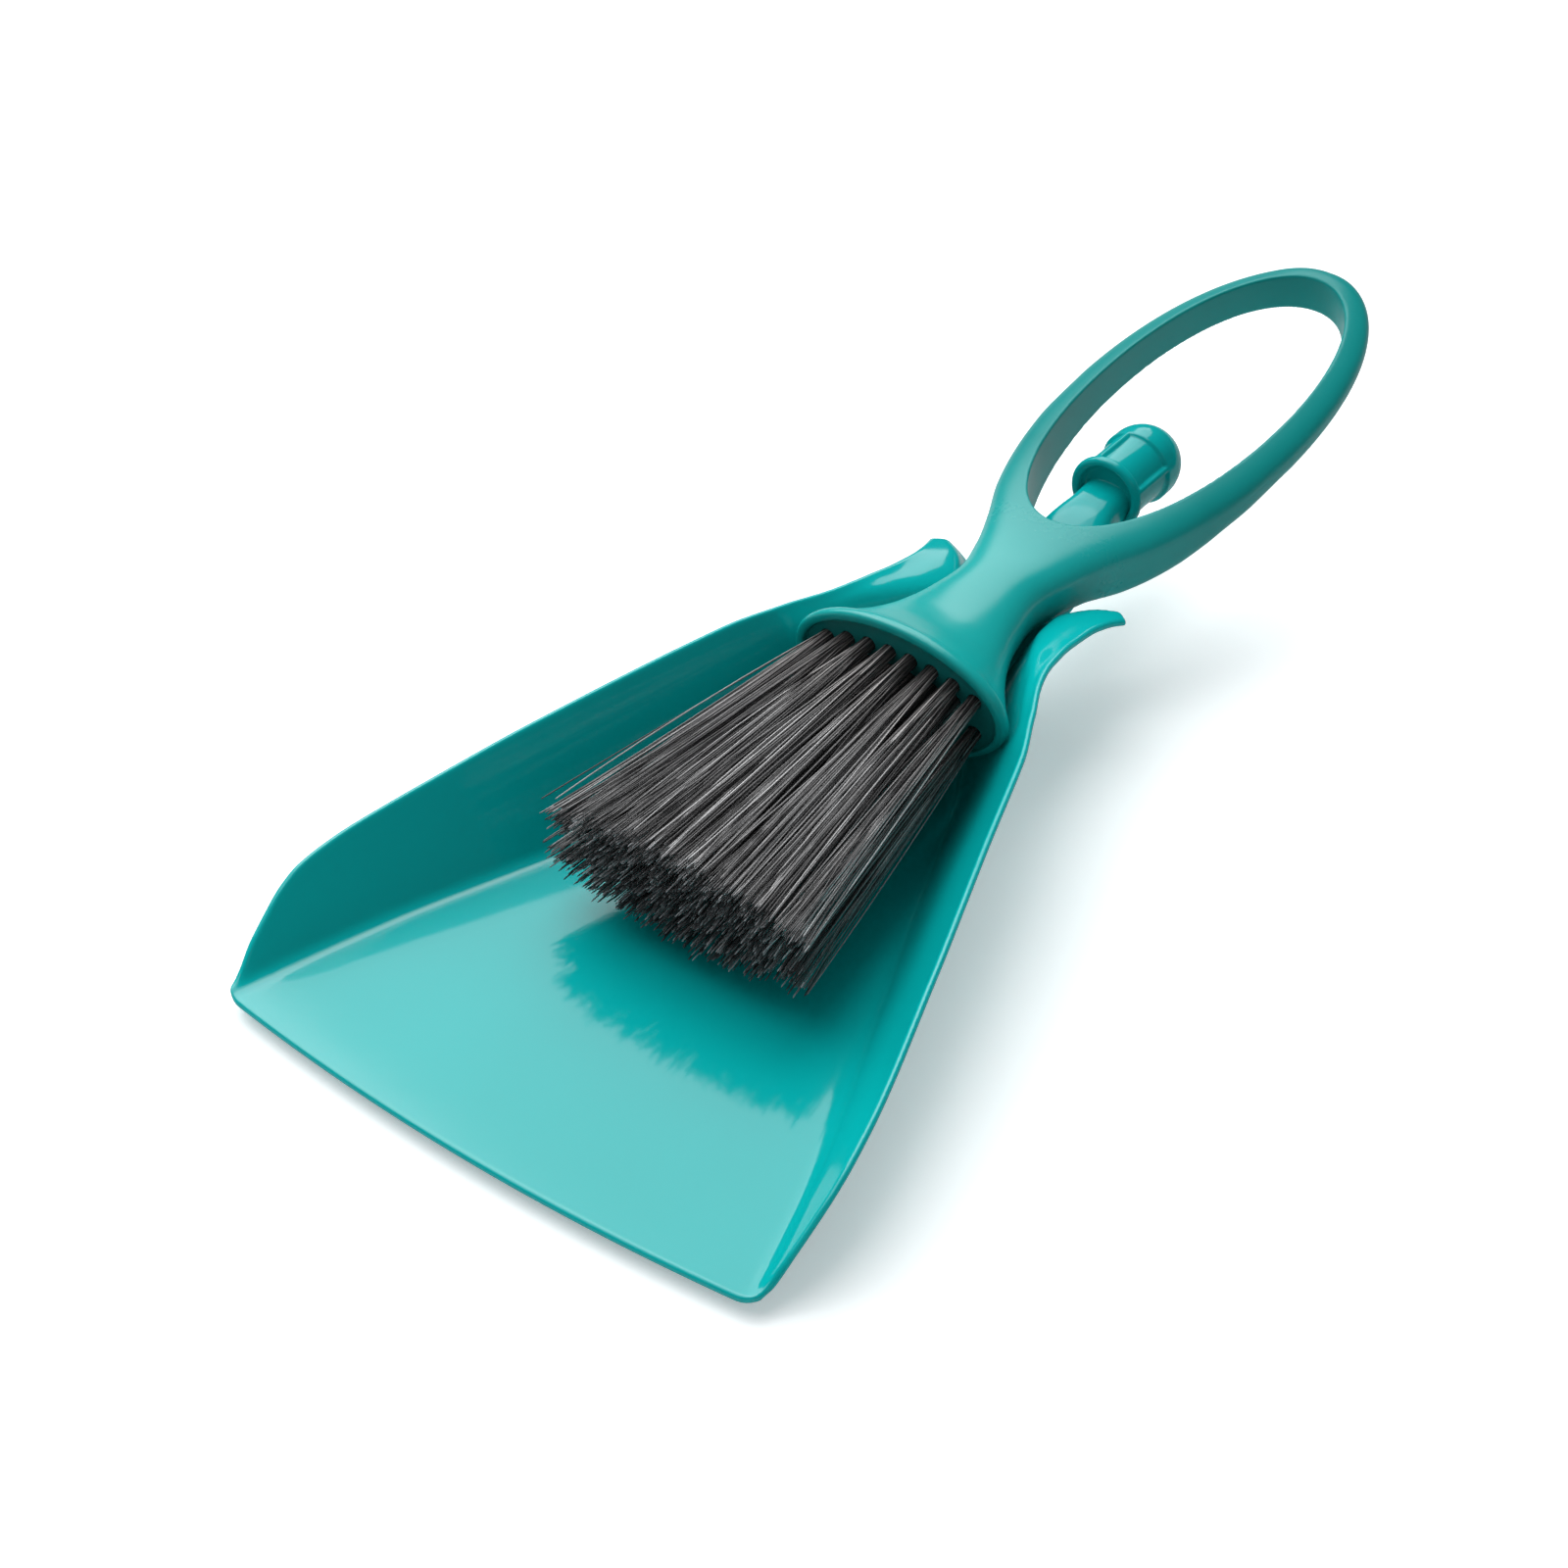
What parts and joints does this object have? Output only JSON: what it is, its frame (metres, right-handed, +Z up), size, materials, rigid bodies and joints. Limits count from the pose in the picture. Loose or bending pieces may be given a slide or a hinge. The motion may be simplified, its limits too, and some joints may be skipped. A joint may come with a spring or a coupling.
{
  "type": "dustpan and brush",
  "caption": "Small dustpan with leaning side walls, rear wings and a knob handle, and a loop-handled hand brush that nests in it and lifts out.",
  "frame": {"origin": "on the underside of the dustpan, midway between the two lip corners", "axes": "+X across the mouth, +Y from the mouth towards the knob, +Z up from the underside"},
  "size_m": [0.1636, 0.3851, 0.0497],
  "materials": {
    "pan_plastic": "glossy moulded polypropylene, turquoise",
    "handle_plastic": "glossy moulded polypropylene, turquoise",
    "block_plastic": "moulded polypropylene, darker turquoise",
    "bristle": "bundled synthetic filament, dark grey",
    "anchor_wire": "flat drawn steel wire"
  },
  "bodies": {
    "dustpan": {"dustpan": "pan_plastic"},
    "brush": {"brush_handle": "handle_plastic", "bristle_block": "block_plastic", "tuft_anchors": "anchor_wire", "tuft_01": "bristle", "tuft_02": "bristle", "tuft_03": "bristle", "tuft_04": "bristle", "tuft_05": "bristle", "tuft_06": "bristle", "tuft_07": "bristle", "tuft_08": "bristle", "tuft_09": "bristle", "tuft_10": "bristle", "tuft_11": "bristle", "tuft_12": "bristle", "tuft_13": "bristle", "tuft_14": "bristle", "tuft_15": "bristle", "tuft_16": "bristle", "tuft_17": "bristle", "tuft_18": "bristle", "tuft_19": "bristle", "tuft_20": "bristle", "tuft_21": "bristle", "tuft_22": "bristle", "tuft_23": "bristle", "tuft_24": "bristle", "tuft_25": "bristle", "tuft_26": "bristle", "tuft_27": "bristle", "tuft_28": "bristle"}
  },
  "joints": [
    {"name": "brush_lift", "type": "slide", "parent": "dustpan", "child": "brush", "axis": [0, 0, 1], "range_m": [0, 0.12]}
  ]
}
